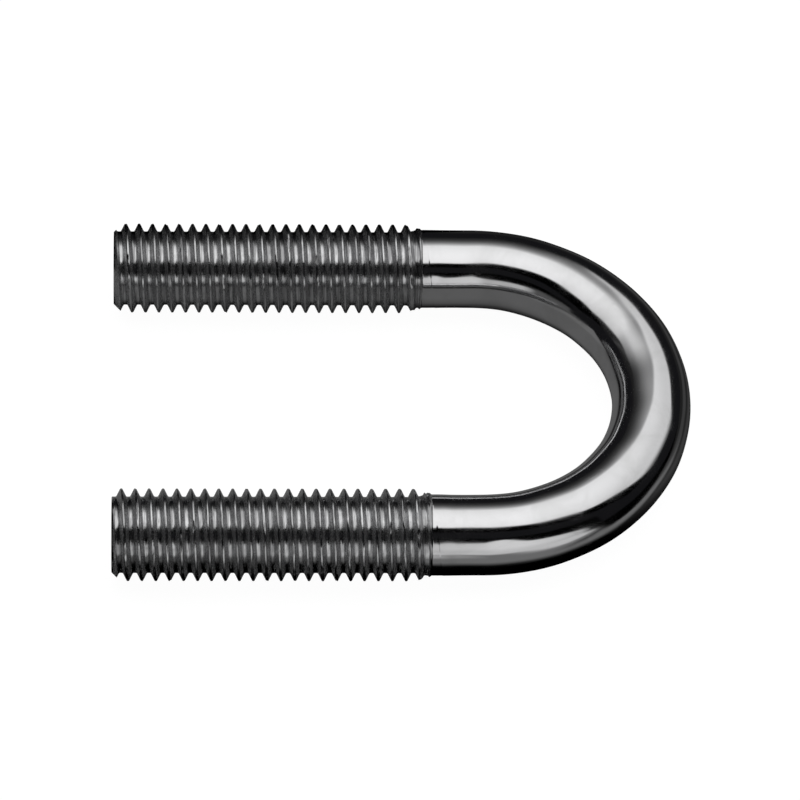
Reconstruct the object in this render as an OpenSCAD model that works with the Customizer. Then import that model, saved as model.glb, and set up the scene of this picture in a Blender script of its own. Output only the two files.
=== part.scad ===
// Round-bend U-bolt with two right-hand threaded legs.
// It lies flat: the bend's centre is the origin, the bow is towards +X,
// the legs run towards -X, and +Z is square to the plane of the U.
// The left leg is the one at +Y. Looked at from the leg ends it is on the left.

/* [Bow] */
// Clear width between the two plain shanks, which is also the bend's inside diameter
inside_w = 30; // [24:1:60]
// Diameter of the plain rod
shank_d = 8.8; // [8.4:0.1:9.2]

/* [Legs] */
// Length of each leg, from the bend's centre to the end of the rod
leg_len = 40; // [36:1:80]
// Length of the thread, from the end of the rod to the plain shank
thread_len = 35; // [12:1:35]
// Diameter of the flat end face, inside the lead-in chamfer
tip_d = 8.1; // [7:0.1:8.1]

/* [Thread] */
// Outside diameter of the thread
thread_d = 10; // [9.7:0.1:10]
// Distance from one crest to the next
pitch = 1.5; // [1:0.25:1.75]
// Turn of the left leg's thread about its own axis, in degrees
left_start = 102; // [0:1:359]
// Turn of the right leg's thread about its own axis, in degrees
right_start = 262; // [0:1:359]

/* [Hidden] */
$fn = 96;

// Plain rod
shank_r = shank_d / 2;
bend_r = inside_w / 2 + shank_r;
shank_len = leg_len - thread_len;

// Metric 60 degree thread form, in shares of the pitch
flank_angle = 30;
crest_share = 1 / 8;
depth_share = 0.6134;
thread_r = thread_d / 2;
root_r = thread_r - depth_share * pitch;

// The ridge starts below the root and stands proud of the crest, and is then trimmed
ridge_base_r = root_r - pitch / 15;
ridge_top_r = thread_r + pitch / 12;
facets_per_turn = 20;
ridge_turns = thread_len / pitch + 2;
ridge_steps = ceil(ridge_turns * facets_per_turn);

// Lead-in chamfer at 45 degrees, and the last turn where the grooves run out
chamfer = thread_r - tip_d / 2;
run_out = pitch;

steel = [0.80, 0.81, 0.82];
thread_steel = [0.42, 0.43, 0.44];

// Half the ridge's width along the axis at radius r
function ridge_half_w(r) = pitch * crest_share / 2 + (thread_r - r) * tan(flank_angle);

// The ridge's four-cornered outline after i steps round the rod
function ridge_section(i) =
    let (turn = 360 * i / facets_per_turn, rise = pitch * i / facets_per_turn)
    [for (corner = [[ridge_base_r, -1], [ridge_top_r, -1], [ridge_top_r, 1], [ridge_base_r, 1]])
        let (r = corner[0])
        [r * cos(turn), r * sin(turn), rise + corner[1] * ridge_half_w(r)]];

// The four sides between outline i and the next one
function ridge_sides(i) =
    [for (j = [0:3])
        let (a = 4 * i + j, b = 4 * i + (j + 1) % 4)
        each [[a, b, b + 4], [a, b + 4, a + 4]]];

// One continuous right-hand ridge, climbing along +Z
module ridge() {
    last = 4 * ridge_steps;
    polyhedron(
        points = [for (i = [0:ridge_steps]) each ridge_section(i)],
        faces = [
            [3, 2, 1, 0],
            for (i = [0:ridge_steps - 1]) each ridge_sides(i),
            [last, last + 1, last + 2, last + 3]
        ]
    );
}

// The rod at the thread's root, swelling to the plain rod where the grooves run out
module thread_core() {
    rotate_extrude()
        polygon([
            [0, 0],
            [root_r, 0],
            [root_r, thread_len - run_out],
            [shank_r, thread_len],
            [0, thread_len]
        ]);
}

// Everything that the crests may reach: chamfered at the end, tapered at the plain rod
module thread_envelope() {
    rotate_extrude()
        polygon([
            [0, 0],
            [tip_d / 2, 0],
            [thread_r, chamfer],
            [thread_r, thread_len - run_out / 2],
            [shank_r, thread_len],
            [0, thread_len]
        ]);
}

// A threaded leg end lying along X, from the end of the rod to the plain shank
module threaded_end(start) {
    translate([-leg_len, 0, 0])
        rotate([0, 90, 0])
            intersection() {
                union() {
                    thread_core();
                    rotate([0, 0, start])
                        translate([0, 0, -pitch])
                            ridge();
                }
                thread_envelope();
            }
}

// A plain straight stretch lying along X, from the thread to the start of the bend
module plain_shank() {
    translate([-shank_len, 0, 0])
        rotate([0, 90, 0])
            cylinder(r = shank_r, h = shank_len);
}

// The half-round bend
module bow() {
    color(steel)
        rotate([0, 0, -90])
            rotate_extrude(angle = 180)
                translate([bend_r, 0])
                    circle(r = shank_r);
}

module left_shank() {
    color(steel)
        translate([0, bend_r, 0])
            plain_shank();
}

module right_shank() {
    color(steel)
        translate([0, -bend_r, 0])
            plain_shank();
}

module left_thread() {
    color(thread_steel)
        translate([0, bend_r, 0])
            threaded_end(left_start);
}

module right_thread() {
    color(thread_steel)
        translate([0, -bend_r, 0])
            threaded_end(right_start);
}

bow();
left_shank();
right_shank();
left_thread();
right_thread();
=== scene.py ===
import math

import bmesh
import bpy
import numpy as np
from mathutils import Matrix, Vector


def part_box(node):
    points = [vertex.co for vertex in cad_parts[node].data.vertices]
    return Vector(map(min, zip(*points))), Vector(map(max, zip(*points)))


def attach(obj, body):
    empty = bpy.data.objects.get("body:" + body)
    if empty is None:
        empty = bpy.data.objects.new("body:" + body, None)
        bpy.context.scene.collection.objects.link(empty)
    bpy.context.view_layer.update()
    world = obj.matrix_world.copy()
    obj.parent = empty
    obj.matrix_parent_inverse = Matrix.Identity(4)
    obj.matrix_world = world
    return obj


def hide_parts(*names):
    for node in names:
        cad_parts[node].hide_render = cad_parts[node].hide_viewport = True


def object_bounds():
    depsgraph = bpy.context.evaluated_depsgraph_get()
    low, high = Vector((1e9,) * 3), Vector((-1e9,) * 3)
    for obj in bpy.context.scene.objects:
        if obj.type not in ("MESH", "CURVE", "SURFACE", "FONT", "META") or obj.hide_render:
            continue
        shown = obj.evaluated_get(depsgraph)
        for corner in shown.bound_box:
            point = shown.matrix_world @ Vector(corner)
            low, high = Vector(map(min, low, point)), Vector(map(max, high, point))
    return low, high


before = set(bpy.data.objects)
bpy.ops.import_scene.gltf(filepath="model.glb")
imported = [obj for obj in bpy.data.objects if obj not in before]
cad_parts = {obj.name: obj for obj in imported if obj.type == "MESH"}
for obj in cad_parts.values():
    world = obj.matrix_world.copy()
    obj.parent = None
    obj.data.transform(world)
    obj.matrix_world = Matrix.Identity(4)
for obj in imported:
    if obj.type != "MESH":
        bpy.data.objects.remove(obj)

cad_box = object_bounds()

# A U-bolt is one straight bar, threaded at both ends and then bent round.
# Everything below is worked out in the straight bar: "along" is the distance
# from the bar's left end, and "angle" turns round the bar from its outward side
# towards +Z. bar_point() then bends the bar into the U.

MM = 0.001

# ---------------------------------------------------------------- sizes from the frame

thread_low, thread_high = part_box("left_thread")
shank_low, shank_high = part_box("left_shank")


def tenth(value):
    """A length to the nearest tenth of a millimetre, which takes off the frame's facets."""
    return round(value / MM, 1) * MM


THREAD_R = tenth((thread_high.z - thread_low.z) / 2)
SHANK_R = tenth((shank_high.z - shank_low.z) / 2)
BEND_R = tenth((shank_high.y + shank_low.y) / 2)
LEG_LEN = tenth(-thread_low.x)
THREAD_LEN = tenth(thread_high.x - thread_low.x)
BEND_LEN = math.pi * BEND_R
BAR_LEN = 2 * LEG_LEN + BEND_LEN

# ---------------------------------------------------------------- thread and rod sizes

PITCH = 1.5 * MM
FLANK_ANGLE = math.radians(26)
CREST_HALF_W = PITCH / 15
ROOT_R = THREAD_R - 0.59 * PITCH
TIP_R = 4.05 * MM
# Angle round the bar at which a crest crosses each cut end
LEFT_CREST = math.radians(82)
RIGHT_CREST = math.radians(28)

CREST_ROUNDING = 0.040 * MM
ROOT_ROUNDING = 0.060 * MM
CHAMFER_ROUNDING = 0.020 * MM
CREST_FOLD_DEPTH = 0.014 * MM
CREST_FOLD_W = 0.022
# Dents in the crests: how deep, how long along the bar, how many round it, and the share of
# the crest that has none
NICK_DEPTH = 0.15 * MM
NICK_SIZE = 0.22 * MM
NICKS_ROUND = 24
NICK_FREE = 0.55
NICK_SEED = 41
NICK_TABLE = 96

# The last raised ring on each leg, and past it the trace where the rolls let go
LEFT_COLLAR_AT = THREAD_LEN - 0.65 * MM
RIGHT_COLLAR_AT = THREAD_LEN - 0.75 * MM
COLLAR_W = 0.30 * MM
COLLAR_H = 0.16 * MM
RUN_OUT = 1.15 * PITCH
TRACE_LEN = 0.95 * MM
TRACE_LEAD = 2 * PITCH
TRACE_DEPTH = 0.022 * MM
TRACE_EDGE_W = 0.10 * MM
TRACE_FADE_TURN = 0.25
# Angle round the bar of the middle of each trace, opposite where it dies away
LEFT_TRACE_MIDDLE = math.radians(131)
RIGHT_TRACE_MIDDLE = math.radians(20)

# Unevenness of the plain bar. Each wave is its radians for each metre along the bar, its
# turns round the bar, and where it starts
WAVE_DEPTH = 0.030 * MM
WAVE_EASE = 2 * MM
WAVES = ((310, 1, 0.4), (470, 2, 1.9), (690, -1, 3.1), (840, 3, 5.0), (1130, -2, 0.8))
BEND_OVAL = 0.006
BEND_OVAL_EASE = 8 * MM

# The cut end's flat rim, and the rings of its shallow dish as depth and radius
CUT_RIM_W = 0.25 * MM
CUT_DISH = ((0.03 * MM, 3.0 * MM), (0.09 * MM, 1.8 * MM), (0.11 * MM, 0.6 * MM))

# ---------------------------------------------------------------- how finely the mesh is cut

THREAD_SIDES = 96
PLAIN_SIDES = 160
SHANK_STEP = 0.05 * MM
BOW_STEP = 0.30 * MM
# From a crest to halfway between crests, in pitches, closer together at crest and root
HALF_PITCH_STEPS = (0, 0.02, 0.04, 0.055, 0.070, 0.09, 0.12, 0.19, 0.27, 0.34, 0.38, 0.42, 0.46)
# A point this near the end of a threaded stretch is moved onto it
SNAP = 0.012 * MM
WELD = 0.0004 * MM
SHARP_EDGE = math.radians(38)
# Steps to either side in which the plain bar's slope is measured
SLOPE_ALONG = 0.02 * MM
SLOPE_ANGLE = 0.004

# Places in a threaded piece's list of materials
PLATED, CUT, PLAIN = 0, 1, 2


# ---------------------------------------------------------------- the bar's shape

def ramp(x):
    """Rises smoothly from 0 to 1 as x goes from 0 to 1."""
    x = np.clip(x, 0.0, 1.0)
    return x * x * (3 - 2 * x)


def rise(x, start, width):
    """Rises smoothly from 0 at the start to 1 this much further on."""
    return ramp((x - start) / width)


def edge(x, middle, width):
    """Rises smoothly from 0 to 1 across a soft edge with its middle here."""
    return ramp((x - middle) / width + 0.5)


def hump(x, middle, width):
    """1 at the middle, and falls away smoothly to both sides."""
    return np.exp(-(((x - middle) / width) ** 2))


def soft_min(a, b, rounding):
    return -rounding * np.logaddexp(-a / rounding, -b / rounding)


def soft_max(a, b, rounding):
    return rounding * np.logaddexp(a / rounding, b / rounding)


def thread_form(phase):
    """Height of a sharp ridge above and below its crest flat, before rounding. Its flanks stand
    a little steeper than a new thread's 30 degrees. phase counts pitches from the crest."""
    away = np.abs(phase) * PITCH
    return THREAD_R - (away - CREST_HALF_W) / math.tan(FLANK_ANGLE)


def nicks(along, angle):
    """Small random dents and burrs, 0 to 1, from a fixed table so that each run is the same."""
    table = np.random.default_rng(NICK_SEED).random((NICK_TABLE, NICK_TABLE))
    u = along / NICK_SIZE
    v = angle / (2 * math.pi) * NICKS_ROUND
    i, j = np.floor(u).astype(int), np.floor(v).astype(int)
    s, t = ramp(u - i), ramp(v - j)

    def at(p, q):
        return table[p % NICK_TABLE, q % NICKS_ROUND]

    return (
        at(i, j) * (1 - s) * (1 - t) + at(i + 1, j) * s * (1 - t)
        + at(i, j + 1) * (1 - s) * t + at(i + 1, j + 1) * s * t
    )


def leg_radius(from_end, phase, angle, collar_at, turn):
    """The bar's radius near a threaded end: chamfer, thread, collar, trace and plain rod.
    phase counts pitches from a crest, and turn counts turns from the middle of the trace."""
    phase = phase - np.round(phase)
    fading = rise(from_end, collar_at - RUN_OUT, RUN_OUT)
    wear = NICK_DEPTH * rise(nicks(from_end, angle), NICK_FREE, 1 - NICK_FREE)
    crest_r = THREAD_R - wear + (SHANK_R + COLLAR_H - THREAD_R) * fading
    root_r = ROOT_R + (SHANK_R - ROOT_R) * fading
    fold = CREST_FOLD_DEPTH * (1 - fading) * hump(phase, 0, CREST_FOLD_W)
    ridge = soft_min(thread_form(phase), crest_r, CREST_ROUNDING)
    ridge = soft_max(ridge, root_r, ROOT_ROUNDING) - fold
    ridge = soft_min(ridge, TIP_R + from_end, CHAMFER_ROUNDING)

    ring = np.exp(-(((from_end - collar_at) / (COLLAR_W / 2)) ** 4))
    turn = turn - np.round(turn)
    trace_end = collar_at + TRACE_LEN + TRACE_LEAD * turn
    trace = 1 - rise(from_end, trace_end, TRACE_EDGE_W)
    trace = trace * ramp((0.5 - np.abs(turn)) / TRACE_FADE_TURN)
    plain = SHANK_R + COLLAR_H * ring - TRACE_DEPTH * trace
    past_thread = edge(from_end, collar_at, COLLAR_W / 2)
    return np.maximum(ridge * (1 - past_thread) + plain * past_thread, ring * plain)


def waviness(along, angle):
    """The slow, slight unevenness that drawing and bending leave in a bar."""
    total = sum(np.sin(rate * along + turns * angle + start) for rate, turns, start in WAVES)
    return WAVE_DEPTH * (total / len(WAVES) - 1)


def bar_radius(along, angle):
    """The bar's radius everywhere, from its left end to its right end."""
    turns_left = (angle - LEFT_CREST) / (2 * math.pi)
    turns_right = (angle - RIGHT_CREST) / (2 * math.pi)
    from_right = BAR_LEN - along
    left = leg_radius(
        along, along / PITCH - turns_left, angle, LEFT_COLLAR_AT,
        (angle - LEFT_TRACE_MIDDLE) / (2 * math.pi),
    )
    right = leg_radius(
        from_right, -from_right / PITCH - turns_right, angle, RIGHT_COLLAR_AT,
        (RIGHT_TRACE_MIDDLE - angle) / (2 * math.pi),
    )
    radius = np.where(along < BAR_LEN / 2, left, right)

    from_end = np.minimum(along, from_right)
    oval = BEND_OVAL * edge(from_end, LEG_LEN, BEND_OVAL_EASE)
    plain = rise(from_end, THREAD_LEN, WAVE_EASE)
    return radius * (1 - oval * np.cos(2 * angle)) + plain * waviness(along, angle)


def bar_point(along, angle, radius):
    """Where a point of the straight bar lies once the bar is bent, as rows of x, y, z."""
    bend = np.clip((along - LEG_LEN) / BEND_R, 0, math.pi)
    before = np.minimum(along - LEG_LEN, 0)
    after = np.maximum(along - LEG_LEN - BEND_LEN, 0)
    reach = BEND_R + radius * np.cos(angle)
    return np.stack(
        [reach * np.sin(bend) + before - after, reach * np.cos(bend), radius * np.sin(angle)],
        axis=-1,
    )


def straight_place(along, angle, radius):
    """The same point in the straight bar, which the finishes are drawn in."""
    return np.stack([along, radius * np.cos(angle), radius * np.sin(angle)], axis=-1)


# ---------------------------------------------------------------- meshes

class Shell:
    """Points and faces of one piece, gathered patch by patch."""

    def __init__(self):
        self.points, self.places, self.faces, self.finish = [], [], [], []
        self.count = 0

    def add_points(self, along, angle, radius):
        along, angle, radius = (a.ravel() for a in np.broadcast_arrays(along, angle, radius))
        self.points.append(bar_point(along, angle, radius))
        self.places.append(straight_place(along, angle, radius))
        first = self.count
        self.count += len(along)
        return first

    def add_faces(self, faces, finish=PLATED):
        self.faces += faces
        self.finish += [finish] * len(faces)

    def add_end(self, rim, along, radius, sides, facing, finish=PLATED):
        """Closes the bar from the ring of points that starts at rim, through more rings, to a
        point in the middle. along and radius hold one value, or row of values, per ring."""
        angle = np.arange(sides) * (2 * math.pi / sides)
        faces = []
        for ring_along, ring_radius in zip(along, radius):
            inner = self.add_points(ring_along, angle, ring_radius)
            faces += [
                (rim + i, rim + (i + 1) % sides, inner + (i + 1) % sides, inner + i)
                for i in range(sides)
            ]
            rim = inner
        middle = self.add_points(along[-1], 0.0, 0.0)
        faces += [(rim + i, rim + (i + 1) % sides, middle) for i in range(sides)]
        self.add_faces([f if facing > 0 else f[::-1] for f in faces], finish)

    def build(self, name):
        mesh = bpy.data.meshes.new(name)
        mesh.from_pydata(np.concatenate(self.points).tolist(), [], self.faces)
        mesh.polygons.foreach_set("material_index", np.array(self.finish, dtype=np.int32))
        layer = mesh.attributes.new("straight_bar", "FLOAT_VECTOR", "POINT")
        layer.data.foreach_set("vector", np.concatenate(self.places).astype(np.float32).ravel())
        return mesh


def ring_faces(first, rows, sides):
    """Quads between rows of points that close round the bar."""
    faces = []
    for row in range(rows - 1):
        a = first + row * sides
        for i in range(sides):
            j = (i + 1) % sides
            faces.append((a + i, a + j, a + sides + j, a + sides + i))
    return faces


def weld(mesh):
    """Joins points that lie on each other and drops faces with no area."""
    shape = bmesh.new()
    shape.from_mesh(mesh)
    bmesh.ops.remove_doubles(shape, verts=shape.verts, dist=WELD)
    bmesh.ops.dissolve_degenerate(shape, edges=shape.edges, dist=WELD)
    bmesh.ops.recalc_face_normals(shape, faces=shape.faces)
    shape.to_mesh(mesh)
    shape.free()


def place_piece(name, mesh, node, materials):
    """Makes the piece's object, with its materials, and hides the CAD node that it takes the place
    of.
    """
    for material in materials:
        mesh.materials.append(material)
    piece = bpy.data.objects.new(name, mesh)
    bpy.context.scene.collection.objects.link(piece)
    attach(piece, "root")
    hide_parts(node)


def pitch_steps():
    """Where the thread's points lie across one pitch, from halfway before a crest."""
    before_crest = [-step for step in HALF_PITCH_STEPS[:0:-1]]
    return np.array([-0.5, *before_crest, *HALF_PITCH_STEPS])


def threaded_piece(name, node, start, end, crest, cut_end, collar_at, materials):
    """A threaded stretch whose rows of points follow the thread's own helix. Each row is one
    step round the bar, and the last column of a row joins the row one whole turn later."""
    across = pitch_steps()
    turn = 2 * math.pi / THREAD_SIDES
    anchor = 0 if cut_end == start else BAR_LEN
    first_row = math.floor(((start - anchor) / PITCH - 1) * THREAD_SIDES)
    last_row = math.ceil(((end - anchor) / PITCH + 1) * THREAD_SIDES)
    rows = np.arange(first_row, last_row + 1)
    crest_rows = crest / turn
    along = anchor + PITCH * ((rows[:, None] - crest_rows) / THREAD_SIDES + across[None, :])
    angle = np.broadcast_to(rows[:, None] * turn, along.shape)
    inside = np.where(along < start + SNAP, start, along)
    inside = np.where(inside > end - SNAP, end, inside)

    shell = Shell()
    shell.add_points(inside, angle, bar_radius(inside, angle))
    width = len(across)
    faces, past_collar = [], []
    for i in range(len(rows) - 1):
        for j in range(width):
            wraps = j == width - 1
            if wraps and i + 1 + THREAD_SIDES >= len(rows):
                continue
            a = (i, j)
            b = (i + 1, j)
            c = (i + 1 + THREAD_SIDES, 0) if wraps else (i + 1, j + 1)
            d = (i + THREAD_SIDES, 0) if wraps else (i, j + 1)
            if len({inside[a], inside[b], inside[c], inside[d]}) > 1:
                plain = abs(inside[a] - cut_end) > collar_at + COLLAR_W / 3
                chosen = past_collar if plain else faces
                chosen.append(tuple(r * width + k for r, k in (a, b, c, d)))
    shell.add_faces(faces)
    shell.add_faces(past_collar, PLAIN)

    sides = np.arange(THREAD_SIDES) * turn
    for at, facing in ((start, -1), (end, 1)):
        rim_radius = bar_radius(np.full(THREAD_SIDES, at), sides)
        rim = shell.add_points(at, sides, rim_radius)
        if at == cut_end:
            rings = [at] + [at - facing * depth for depth, _ in CUT_DISH]
            radii = [rim_radius - CUT_RIM_W] + [radius for _, radius in CUT_DISH]
            shell.add_end(rim, rings, radii, THREAD_SIDES, facing, finish=CUT)
        else:
            shell.add_end(rim, [at], [rim_radius / 2], THREAD_SIDES, facing)
    mesh = shell.build(name)
    weld(mesh)
    mesh.shade_smooth()
    mesh.set_sharp_from_angle(angle=SHARP_EDGE)
    place_piece(name, mesh, node, materials)


def plain_normals(along, angle):
    """The bar's outward direction at these points, from its shape just to either side."""
    def surface(a, b):
        return bar_point(a, b, bar_radius(a, b))

    round_bar = surface(along, angle + SLOPE_ANGLE) - surface(along, angle - SLOPE_ANGLE)
    along_bar = surface(along + SLOPE_ALONG, angle) - surface(along - SLOPE_ALONG, angle)
    normals = np.cross(round_bar, along_bar)
    return normals / np.linalg.norm(normals, axis=-1, keepdims=True)


def plain_piece(name, node, start, end, step, materials):
    """A plain stretch of the bar, with exact normals so that neighbours meet with no seam."""
    along = np.linspace(start, end, math.ceil((end - start) / step) + 1)
    angle = np.arange(PLAIN_SIDES) * (2 * math.pi / PLAIN_SIDES)
    grid_along, grid_angle = np.meshgrid(along, angle, indexing="ij")
    radius = bar_radius(grid_along, grid_angle)
    shell = Shell()
    shell.add_points(grid_along, grid_angle, radius)
    shell.add_faces(ring_faces(0, len(along), PLAIN_SIDES))
    last_rim = (len(along) - 1) * PLAIN_SIDES
    shell.add_end(0, [start], [radius[0] / 2], PLAIN_SIDES, -1)
    shell.add_end(last_rim, [end], [radius[-1] / 2], PLAIN_SIDES, 1)
    mesh = shell.build(name)
    normals = np.zeros((shell.count, 3))
    normals[: grid_along.size] = plain_normals(grid_along, grid_angle).reshape(-1, 3)
    set_corner_normals(mesh, normals)
    place_piece(name, mesh, node, materials)


def set_corner_normals(mesh, point_normals):
    """Gives each face corner its point's normal, or its face's own where the point has none."""
    mesh.shade_smooth()
    corner_points = np.empty(len(mesh.loops), dtype=np.int32)
    mesh.loops.foreach_get("vertex_index", corner_points)
    wanted = point_normals[corner_points]
    for face in mesh.polygons:
        loops = slice(face.loop_start, face.loop_start + face.loop_total)
        if (~wanted[loops].any(axis=1)).any():
            wanted[loops] = face.normal
    mesh.normals_split_custom_set(wanted.tolist())


# ---------------------------------------------------------------- finishes

ROD_CLEAN = (0.83, 0.83, 0.84, 1)
ROD_FILMED = (0.76, 0.76, 0.765, 1)
THREAD_CLEAN = (0.74, 0.745, 0.75, 1)
THREAD_FILMED = (0.56, 0.56, 0.565, 1)
# Painted shade colour for the grooves of the rolled lines
THREAD_LINE_SHADE = (0.38, 0.38, 0.385, 1)
# Painted shade colour for the thread's flanks, also used for stray dark streaks
THREAD_SHADE_AND_STREAKS = (0.33, 0.33, 0.335, 1)
CUT_CLEAN = (0.66, 0.66, 0.665, 1)
CUT_FILMED = (0.42, 0.42, 0.43, 1)

DRAWING_LINE_DEPTH = 0.0006 * MM
HAIRLINE_DEPTH = 0.0008 * MM
ROLLED_LINE_DEPTH = 0.016 * MM
GRIT_DEPTH = 0.010 * MM
TURNING_RING_DEPTH = 0.010 * MM

# How softly the flanks' painted shade ends towards root and crest, and over what length it thins
# out towards the plain rod
FLANK_SHADE_EDGE = 0.06 * MM
FLANK_SHADE_RUN_OUT = 1.2 * MM


def new_group(name, inputs, outputs):
    """An empty shader node group with these inputs (name, kind, value) and outputs (name, kind)."""
    tree = bpy.data.node_groups.new(name, "ShaderNodeTree")
    for socket, kind, value in inputs:
        made = tree.interface.new_socket(socket, in_out="INPUT", socket_type=kind)
        if value is not None:
            made.default_value = value
    for socket, kind in outputs:
        tree.interface.new_socket(socket, in_out="OUTPUT", socket_type=kind)
    return tree, tree.nodes.new("NodeGroupInput").outputs, tree.nodes.new("NodeGroupOutput").inputs


def feed(tree, socket, value):
    """Links a socket to a node output, or sets it to a plain value."""
    if isinstance(value, bpy.types.NodeSocket):
        tree.links.new(value, socket)
    else:
        socket.default_value = value


def maths(tree, operation, *values):
    node = tree.nodes.new("ShaderNodeMath")
    node.operation = operation
    for socket, value in zip(node.inputs, values):
        feed(tree, socket, value)
    return node.outputs[0]


def stretched(tree, place, along, across):
    """The place in the bar, counted in steps of these sizes along and across it."""
    node = tree.nodes.new("ShaderNodeVectorMath")
    node.operation = "DIVIDE"
    feed(tree, node.inputs[0], place)
    steps = tree.nodes.new("ShaderNodeCombineXYZ")
    feed(tree, steps.inputs[0], along)
    feed(tree, steps.inputs[1], across)
    feed(tree, steps.inputs[2], across)
    tree.links.new(steps.outputs[0], node.inputs[1])
    return node.outputs[0]


def noise(tree, vector, detail=2.0, roughness=0.5, distortion=0.0):
    node = tree.nodes.new("ShaderNodeTexNoise")
    feed(tree, node.inputs["Vector"], vector)
    node.inputs["Scale"].default_value = 1.0
    node.inputs["Detail"].default_value = detail
    node.inputs["Roughness"].default_value = roughness
    node.inputs["Distortion"].default_value = distortion
    return node.outputs["Fac"]


def spread(tree, value, low, high, to_low=0.0, to_high=1.0):
    """Maps low..high smoothly onto to_low..to_high."""
    node = tree.nodes.new("ShaderNodeMapRange")
    node.interpolation_type = "SMOOTHSTEP"
    feed(tree, node.inputs["Value"], value)
    feed(tree, node.inputs["From Min"], low)
    feed(tree, node.inputs["From Max"], high)
    feed(tree, node.inputs["To Min"], to_low)
    feed(tree, node.inputs["To Max"], to_high)
    return node.outputs["Result"]


def blend_colour(tree, amount, colour_a, colour_b):
    node = tree.nodes.new("ShaderNodeMix")
    node.data_type = "RGBA"
    feed(tree, node.inputs["Factor"], amount)
    feed(tree, node.inputs["A"], colour_a)
    feed(tree, node.inputs["B"], colour_b)
    return node.outputs["Result"]


def drawing_lines_group():
    """Fine lines that the drawing die leaves along the bar, which plating softens."""
    tree, given, out = new_group(
        "drawing_lines",
        [
            ("Place", "NodeSocketVector", None),
            ("Line Length", "NodeSocketFloat", 9 * MM),
            ("Line Spacing", "NodeSocketFloat", 0.22 * MM),
        ],
        [("Height", "NodeSocketFloat")],
    )
    steps = stretched(tree, given["Place"], given["Line Length"], given["Line Spacing"])
    feed(tree, out["Height"], noise(tree, steps, detail=2.0, roughness=0.6))
    return tree


def handling_film_group():
    """A faint cloudy film from handling, thicker in patches."""
    tree, given, out = new_group(
        "handling_film",
        [
            ("Place", "NodeSocketVector", None),
            ("Patch Size", "NodeSocketFloat", 5 * MM),
        ],
        [("Film", "NodeSocketFloat")],
    )
    patches = noise(
        tree, stretched(tree, given["Place"], given["Patch Size"], given["Patch Size"]),
        detail=4.0, roughness=0.62, distortion=0.6,
    )
    feed(tree, out["Film"], spread(tree, patches, 0.36, 0.68))
    return tree


def hairlines_group():
    """Short hairline scratches, lying mostly along the bar."""
    tree, given, out = new_group(
        "hairlines",
        [
            ("Place", "NodeSocketVector", None),
            ("Length", "NodeSocketFloat", 2.4 * MM),
            ("Spacing", "NodeSocketFloat", 0.7 * MM),
            ("Width", "NodeSocketFloat", 0.016),
        ],
        [("Scratch", "NodeSocketFloat")],
    )
    steps = stretched(tree, given["Place"], given["Length"], given["Spacing"])
    ridges = maths(tree, "ABSOLUTE", maths(tree, "SUBTRACT", noise(tree, steps, 1.0), 0.5))
    lines = spread(tree, ridges, 0.0, given["Width"], 1.0, 0.0)
    broken = spread(tree, noise(tree, stretched(tree, given["Place"], 3 * MM, 3 * MM)), 0.52, 0.66)
    feed(tree, out["Scratch"], maths(tree, "MULTIPLY", lines, broken))
    return tree


def along_and_radius(tree, place):
    """The distance along the bar, and the distance from its axis."""
    split = tree.nodes.new("ShaderNodeSeparateXYZ")
    tree.links.new(place, split.inputs[0])
    y, z = split.outputs[1], split.outputs[2]
    square = maths(tree, "ADD", maths(tree, "MULTIPLY", y, y), maths(tree, "MULTIPLY", z, z))
    return split.outputs[0], maths(tree, "SQRT", square)


def rolling_lines_group():
    """Lines that run round the bar, as thread rolls press in or a turning tool leaves."""
    tree, given, out = new_group(
        "rolling_lines",
        [
            ("Place", "NodeSocketVector", None),
            ("Spacing", "NodeSocketFloat", 0.21 * MM),
            ("Wander", "NodeSocketFloat", 1.6),
        ],
        [("Height", "NodeSocketFloat")],
    )
    along, radius = along_and_radius(tree, given["Place"])
    slow = noise(tree, stretched(tree, given["Place"], 2.5 * MM, 2.5 * MM), detail=1.0)
    across = tree.nodes.new("ShaderNodeCombineXYZ")
    feed(tree, across.inputs[0], maths(tree, "DIVIDE", along, given["Spacing"]))
    feed(tree, across.inputs[1], maths(tree, "DIVIDE", radius, given["Spacing"]))
    feed(tree, across.inputs[2], maths(tree, "MULTIPLY", slow, given["Wander"]))
    feed(tree, out["Height"], noise(tree, across.outputs[0], detail=2.0, roughness=0.55))
    return tree


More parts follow.
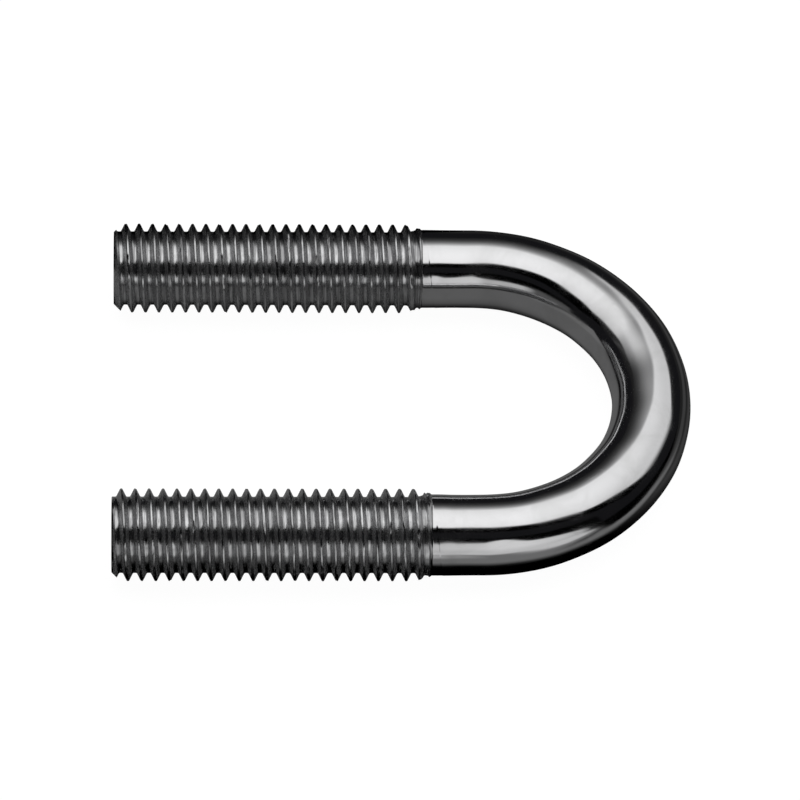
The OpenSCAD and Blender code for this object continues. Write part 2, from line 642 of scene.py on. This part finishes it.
def flank_shade_and_streaks_group():
    """Painted shade on the thread's flanks, streaky round the bar, and stray dark streaks anywhere.
    Crests and root floors are left unshaded, and the run-out holds less of the shade."""
    tree, given, out = new_group(
        "flank_shade_and_streaks",
        [
            ("Place", "NodeSocketVector", None),
            ("Root Unshaded To", "NodeSocketFloat", ROOT_R + 0.09 * MM),
            ("Crest Unshaded From", "NodeSocketFloat", THREAD_R - 0.12 * MM),
            ("Streak Width", "NodeSocketFloat", 0.17 * MM),
            ("Streak Length", "NodeSocketFloat", 1.60 * MM),
            ("Run Out From", "NodeSocketFloat", THREAD_LEN - 2.4 * MM),
        ],
        [("Shade And Streaks", "NodeSocketFloat")],
    )
    along, radius = along_and_radius(tree, given["Place"])
    root_unshaded, crest_unshaded = given["Root Unshaded To"], given["Crest Unshaded From"]
    above = spread(tree, radius, root_unshaded, maths(tree, "ADD", root_unshaded, FLANK_SHADE_EDGE))
    crest_edge = maths(tree, "SUBTRACT", crest_unshaded, FLANK_SHADE_EDGE)
    below = spread(tree, radius, crest_edge, crest_unshaded, 1.0, 0.0)
    from_end = maths(tree, "MINIMUM", along, maths(tree, "SUBTRACT", BAR_LEN, along))
    run_out_end = maths(tree, "ADD", given["Run Out From"], FLANK_SHADE_RUN_OUT)
    kept = spread(tree, from_end, given["Run Out From"], run_out_end, 1.0, 0.25)
    on_flank = maths(tree, "MULTIPLY", maths(tree, "MULTIPLY", above, below), kept)
    streaks = noise(
        tree, stretched(tree, given["Place"], given["Streak Width"], given["Streak Length"]),
        detail=3.0, roughness=0.6,
    )
    # The flanks get painted shade in streaks, and stray dark streaks fall anywhere
    cover = maths(tree, "MULTIPLY", on_flank, spread(tree, streaks, 0.36, 0.60, 0.35, 1.0))
    stray = spread(tree, streaks, 0.56, 0.70, 0.0, 0.6)
    feed(tree, out["Shade And Streaks"], maths(tree, "MAXIMUM", cover, stray))
    return tree


def surface_grit_group():
    """Fine pits and grains in the thread's surface."""
    tree, given, out = new_group(
        "surface_grit",
        [
            ("Place", "NodeSocketVector", None),
            ("Grain", "NodeSocketFloat", 0.13 * MM),
        ],
        [("Height", "NodeSocketFloat")],
    )
    grains = noise(
        tree, stretched(tree, given["Place"], given["Grain"], given["Grain"]),
        detail=1.0, roughness=0.5,
    )
    feed(tree, out["Height"], spread(tree, grains, 0.45, 0.75))
    return tree


def new_finish(name):
    """A material with a metal shader, and the place in the straight bar to draw it in."""
    material = bpy.data.materials.new(name)
    material.use_nodes = True
    tree = material.node_tree
    shader = tree.nodes["Principled BSDF"]
    shader.inputs["Metallic"].default_value = 1.0
    place = tree.nodes.new("ShaderNodeAttribute")
    place.attribute_name = "straight_bar"
    return material, tree, shader, place.outputs["Vector"]


def use_group(tree, group, place, **values):
    """Puts a node group in a material. Values are given by socket name, with _ for a space."""
    node = tree.nodes.new("ShaderNodeGroup")
    node.node_tree = group
    tree.links.new(place, node.inputs["Place"])
    for socket, value in values.items():
        feed(tree, node.inputs[socket.replace("_", " ")], value)
    return node.outputs[0]


def bump(tree, height, depth, under=None):
    """A bump of this depth in metres. under is the normal of a coarser bump below it."""
    node = tree.nodes.new("ShaderNodeBump")
    node.inputs["Strength"].default_value = 1.0
    node.inputs["Distance"].default_value = depth
    tree.links.new(height, node.inputs["Height"])
    if under is not None:
        tree.links.new(under, node.inputs["Normal"])
    return node.outputs["Normal"]


drawing_lines = drawing_lines_group()
handling_film = handling_film_group()
hairlines = hairlines_group()
rolling_lines = rolling_lines_group()
flank_shade_and_streaks = flank_shade_and_streaks_group()
surface_grit = surface_grit_group()


def polished_rod_finish():
    """Bright plating over smooth drawn bar."""
    material, tree, shader, place = new_finish("polished_rod")
    film = use_group(tree, handling_film, place)
    lines = use_group(tree, drawing_lines, place)
    scratch = use_group(tree, hairlines, place)
    feed(tree, shader.inputs["Base Color"], blend_colour(tree, film, ROD_CLEAN, ROD_FILMED))
    filmed = spread(tree, film, 0, 1, 0.085, 0.14)
    dull = maths(tree, "ADD", filmed, maths(tree, "MULTIPLY", scratch, 0.10))
    feed(tree, shader.inputs["Roughness"], dull)
    normal = bump(tree, lines, DRAWING_LINE_DEPTH)
    feed(tree, shader.inputs["Normal"], bump(tree, scratch, HAIRLINE_DEPTH, under=normal))
    return material


def rolled_thread_finish():
    """Plating over rolled thread, with lines round it, painted shade in their grooves and on the
    flanks.
    """
    material, tree, shader, place = new_finish("rolled_thread")
    film = use_group(tree, handling_film, place, Patch_Size=1.3 * MM)
    lines = use_group(tree, rolling_lines, place)
    shade_and_streaks = use_group(tree, flank_shade_and_streaks, place)
    grit = use_group(tree, surface_grit, place)
    plating = blend_colour(tree, film, THREAD_CLEAN, THREAD_FILMED)
    # Painted shade in the grooves of the rolled lines, where their bump is low
    between_lines = spread(tree, lines, 0.40, 0.54)
    line_shaded = blend_colour(tree, between_lines, THREAD_LINE_SHADE, plating)
    # Painted shade darkens the flanks
    feed(tree, shader.inputs["Base Color"], blend_colour(tree, shade_and_streaks, line_shaded, THREAD_SHADE_AND_STREAKS))
    feed(tree, shader.inputs["Metallic"], spread(tree, shade_and_streaks, 0, 1, 1.0, 0.80))
    filmed = spread(tree, film, 0, 1, 0.14, 0.21)
    dull = maths(tree, "ADD", filmed, maths(tree, "MULTIPLY", shade_and_streaks, 0.10))
    feed(tree, shader.inputs["Roughness"], dull)
    gritty = maths(tree, "MULTIPLY", grit, spread(tree, shade_and_streaks, 0, 1, 0.15, 1.0))
    normal = bump(tree, lines, ROLLED_LINE_DEPTH)
    feed(tree, shader.inputs["Normal"], bump(tree, gritty, GRIT_DEPTH, under=normal))
    return material


def cut_end_finish():
    """The cropped and faced end of the bar: fine turning rings under thin plating."""
    material, tree, shader, place = new_finish("cut_end")
    film = use_group(tree, handling_film, place, Patch_Size=1.2 * MM)
    rings = use_group(tree, rolling_lines, place, Spacing=0.10 * MM, Wander=0.5)
    feed(tree, shader.inputs["Base Color"], blend_colour(tree, film, CUT_CLEAN, CUT_FILMED))
    feed(tree, shader.inputs["Roughness"], spread(tree, film, 0, 1, 0.24, 0.40))
    feed(tree, shader.inputs["Normal"], bump(tree, rings, TURNING_RING_DEPTH))
    return material


polished_rod = polished_rod_finish()
rolled_thread = rolled_thread_finish()
cut_end = cut_end_finish()

# ---------------------------------------------------------------- the U-bolt

right_thread_start = BAR_LEN - THREAD_LEN
right_leg_start = BAR_LEN - LEG_LEN

threaded_piece(
    "left_thread_rolled", "left_thread", 0.0, THREAD_LEN, LEFT_CREST, 0.0, LEFT_COLLAR_AT,
    [rolled_thread, cut_end, polished_rod],
)
threaded_piece(
    "right_thread_rolled", "right_thread", right_thread_start, BAR_LEN, RIGHT_CREST, BAR_LEN,
    RIGHT_COLLAR_AT, [rolled_thread, cut_end, polished_rod],
)
plain_piece("left_shank_plain", "left_shank", THREAD_LEN, LEG_LEN, SHANK_STEP, [polished_rod])
plain_piece("bow_bent", "bow", LEG_LEN, right_leg_start, BOW_STEP, [polished_rod])
plain_piece(
    "right_shank_plain", "right_shank", right_leg_start, right_thread_start, SHANK_STEP,
    [polished_rod],
)

# ---------------------------------------------------------------- studio

FLOOR_Z = cad_box[0].z - 0.02 * MM
FLOOR_HALF = 1.6
FLOOR_DIFFUSE = 0.14
FLOOR_GLOW = 0.97

ROOF_HEIGHT = 300 * MM
FRONT_DISTANCE = 300 * MM
# In mm: how far the ground card reaches to each side, and how far its points are close set
GROUND_REACH = 720
GROUND_FINE = 60


def glow_finish(name):
    """A card that gives light, as bright at each point as its glow says."""
    material = bpy.data.materials.new(name)
    material.use_nodes = True
    tree = material.node_tree
    tree.nodes.clear()
    glow = tree.nodes.new("ShaderNodeAttribute")
    glow.attribute_name = "glow"
    emission = tree.nodes.new("ShaderNodeEmission")
    output = tree.nodes.new("ShaderNodeOutputMaterial")
    tree.links.new(glow.outputs["Fac"], emission.inputs["Strength"])
    tree.links.new(emission.outputs[0], output.inputs["Surface"])
    return material


def light_card(name, rows, diffuse=True):
    """A glowing sheet through rows of points, each x, y, z in metres and its glow."""
    grid = np.array(rows, dtype=float)
    count, width = grid.shape[:2]
    faces = [
        (r * width + c, r * width + c + 1, (r + 1) * width + c + 1, (r + 1) * width + c)
        for r in range(count - 1) for c in range(width - 1)
    ]
    mesh = bpy.data.meshes.new(name)
    mesh.from_pydata(grid[..., :3].reshape(-1, 3).tolist(), [], faces)
    layer = mesh.attributes.new("glow", "FLOAT", "POINT")
    layer.data.foreach_set("value", grid[..., 3].ravel().astype(np.float32))
    mesh.materials.append(glow_finish(name))
    card = bpy.data.objects.new(name, mesh)
    bpy.context.scene.collection.objects.link(card)
    card.visible_camera = False
    card.visible_shadow = False
    card.visible_diffuse = diffuse


def roof_glow(x, y):
    """How bright the roof card is, with x and y in roof heights from straight above. It is
    brightest overhead, ends sharply in front, and fades at the back and at both ends."""
    overhead = 1 - 0.35 * rise(np.hypot(x, y), 0, 1.4)
    ends = rise(x, -1.52, 0.22) * (1 - 0.85 * rise(x, 1.68, 0.97))
    front_edge = np.where(x < 0, 0.32 * np.abs(x), 0.25 * np.maximum(x - 0.78, 0)) - 0.41
    front_edge = front_edge - 0.07 * rise(-x, 0.6, 0.6)
    back_edge = 0.62 + rise(x, 0.07, 0.5) - 0.5 * rise(x, 1.2, 0.8) - 0.06 * rise(-x, 0.5, 0.4)
    back_softness = 0.25 - 0.15 * rise(x, 0.1, 0.4)
    fade_at_back = np.exp(-np.maximum(y - back_edge, 0) / back_softness)
    spill = 0.014
    streak = 0.04 * rise(-x, 1.1, 0.5) * hump(y, 0.92, 0.14)
    return edge(y, front_edge, 0.06) * (overhead * ends * fade_at_back + spill) + streak


def roof_card():
    h = ROOF_HEIGHT
    across = np.arange(-2.6, 2.81, 0.04)
    back = np.arange(-0.7, 2.11, 0.03)
    rows = [[(x * h, y * h, h, float(roof_glow(x, y))) for x in across] for y in back]
    light_card("roof_card", rows)


def front_glow(x, z):
    """How bright the front card is, with x and z in card distances from the middle. It is lit
    from the table up to a top edge that is highest to the right of the middle."""
    level = 0.48 + 0.22 * rise(x, -0.2, 0.4) - 0.20 * rise(x, 0.3, 0.9)
    top = 0.375 + 0.26 * hump(x, 0.22, 0.16) - 0.20 * rise(x, 0.6, 0.6)
    top = top - 0.04 * hump(x, -0.2, 0.12)
    lit = rise(x, -1.0, 0.4) * (1 - edge(x, 1.2 - 0.55 * z, 0.06))
    lit = lit * (1 - edge(z, top, 0.05)) * (0.84 + 0.16 * rise(z, 0, 0.2))
    dim = 0.085 * rise(-x, 0.6, 0.4) * (1 - rise(z, 0.36, 0.2))
    return np.maximum(level * lit, dim)


def front_card():
    d = FRONT_DISTANCE
    across = np.arange(-2.6, 1.61, 0.04)
    up = FLOOR_Z / d + np.arange(0, 0.81, 0.025)
    rows = [[(x * d, -d, z * d, float(front_glow(x, z))) for x in across] for z in up]
    light_card("front_card", rows)


def ground_glow(x, y):
    """How bright the table looks in the plating, with x and y in mm: grey between the legs, the
    bar's painted shadow black close in along the outside, grey again further off, bright far out in
    front."""
    outer_side = (BEND_R + SHANK_R) / MM
    outside = np.where(x > 0, np.hypot(np.maximum(x, 0), y), np.abs(y)) - outer_side
    # Degrees round the bow, from its crown
    turned = np.degrees(np.arctan2(y, np.maximum(x, 0.01)))
    # The bar's painted shadow on the table: black for 4 to 13 mm out along its outside
    clear = rise(outside, 4 + 9 * rise(turned, -50, 60), 4)

    # In front: a grey band, brighter further off, between two slanting sides
    slant = x / np.maximum(-y, 1)
    either_side = np.maximum(rise(x, 8, 22), rise(-x, -4, 14))
    far = np.maximum(either_side * rise(-y, 36, 11), rise(-y, 54, 30))
    ahead = (0.16 + 0.40 * far) * rise(slant, -1.0, 0.4) * (1 - edge(slant, 1.04, 0.12))
    ahead = ahead * (1 - 0.75 * rise(x, 12, 12) * hump(y, -30.5, 2.2))
    ahead = np.maximum(ahead, 0.09 * rise(-slant, 0.4, 0.4)) * rise(-y, 20, 4)

    # To the right, behind a slanting edge: a dim patch, and a dimmer rim that hugs the bow
    behind_slant = edge(y, 0.54 * (x - 28) - 24, 3)
    side = 0.05 + 0.11 * rise(-x, -50, 15) * rise(-y, -6, 14)
    side = side * behind_slant * rise(x, 12, 6) * (1 - rise(outside, 30, 25))
    hug = (0.016 + 0.035 * hump(outside, 6, 3)) * rise(turned, -50, 40)
    hug = hug * behind_slant * np.where(x > 0, 1, 0)

    within = 0.115 * (1 - 0.55 * rise(y, 10, 8)) + 0.035 * rise(-x, 8, 10)
    within = within * rise(-outside, 7, 3)
    return np.maximum(np.maximum(ahead, side) * clear, np.maximum(within, hug))


def ground_card():
    """What the plating sees in place of the floor: a glowing card with the table's light and the
    bar's shadow painted in. It shows only in reflections.
    """
    steps = np.linspace(-1, 1, 121)
    across = [GROUND_FINE * t + (GROUND_REACH - GROUND_FINE) * t ** 5 for t in steps]
    front = FRONT_DISTANCE / MM
    back = [GROUND_FINE * t + (front - GROUND_FINE) * t ** 5 for t in steps]
    rows = [
        [(x * MM, y * MM, FLOOR_Z, float(ground_glow(x, y))) for x in across]
        for y in back
    ]
    light_card("ground_card", rows, diffuse=False)


def pale_floor():
    mesh = bpy.data.meshes.new("floor")
    e = FLOOR_HALF
    corners = [(-e, -e, FLOOR_Z), (e, -e, FLOOR_Z), (e, e, FLOOR_Z), (-e, e, FLOOR_Z)]
    mesh.from_pydata(corners, [], [(0, 1, 2, 3)])
    material = bpy.data.materials.new("pale_floor")
    material.use_nodes = True
    shader = material.node_tree.nodes["Principled BSDF"]
    shader.inputs["Base Color"].default_value = (FLOOR_DIFFUSE,) * 3 + (1,)
    shader.inputs["Roughness"].default_value = 0.9
    shader.inputs["Specular IOR Level"].default_value = 0.0
    shader.inputs["Emission Color"].default_value = (1, 1, 1, 1)
    shader.inputs["Emission Strength"].default_value = FLOOR_GLOW
    mesh.materials.append(material)
    floor = bpy.data.objects.new("floor", mesh)
    bpy.context.scene.collection.objects.link(floor)
    floor.visible_glossy = False


def studio_world():
    """A dark room in the reflections, and a pale backdrop past the floor's edge."""
    world = bpy.data.worlds.new("studio")
    bpy.context.scene.world = world
    world.use_nodes = True
    tree = world.node_tree
    tree.nodes.clear()
    dark = tree.nodes.new("ShaderNodeBackground")
    dark.inputs["Color"].default_value = (0.008, 0.008, 0.009, 1)
    pale = tree.nodes.new("ShaderNodeBackground")
    pale.inputs["Color"].default_value = (1, 1, 1, 1)
    choose = tree.nodes.new("ShaderNodeMixShader")
    output = tree.nodes.new("ShaderNodeOutputWorld")
    light_path = tree.nodes.new("ShaderNodeLightPath")
    tree.links.new(light_path.outputs["Is Camera Ray"], choose.inputs[0])
    tree.links.new(dark.outputs[0], choose.inputs[1])
    tree.links.new(pale.outputs[0], choose.inputs[2])
    tree.links.new(choose.outputs[0], output.inputs["Surface"])


CAMERA_TURN = math.radians(4.0)
CAMERA_RISE = math.radians(49.05)
CAMERA_ROLL = math.radians(3.16)
CAMERA_DISTANCE = 599.54 * MM
CAMERA_LENS = 244.69
CAMERA_SENSOR_W = 36
CAMERA_SEES_TO = 10
AIM_OFF_CENTRE = Vector((-0.26, -0.12, 0)) * MM


def place_camera():
    """Looks down at the U from the side of its right leg, through a long lens."""
    aim = (cad_box[0] + cad_box[1]) / 2 + AIM_OFF_CENTRE
    level = math.cos(CAMERA_RISE)
    forward = Vector(
        (math.sin(CAMERA_TURN) * level, math.cos(CAMERA_TURN) * level, -math.sin(CAMERA_RISE))
    )
    across = forward.cross(Vector((0, 0, 1))).normalized()
    upward = across.cross(forward)
    right = across * math.cos(CAMERA_ROLL) + upward * math.sin(CAMERA_ROLL)
    up = upward * math.cos(CAMERA_ROLL) - across * math.sin(CAMERA_ROLL)
    data = bpy.data.cameras.new("camera")
    data.lens = CAMERA_LENS
    data.sensor_width = CAMERA_SENSOR_W
    data.clip_end = CAMERA_SEES_TO
    camera = bpy.data.objects.new("camera", data)
    bpy.context.scene.collection.objects.link(camera)
    turned = Matrix((right, up, -forward)).transposed().to_4x4()
    camera.matrix_world = Matrix.Translation(aim - forward * CAMERA_DISTANCE) @ turned
    bpy.context.scene.camera = camera


roof_card()
front_card()
ground_card()
pale_floor()
studio_world()
place_camera()
bpy.context.scene.view_settings.view_transform = "Standard"
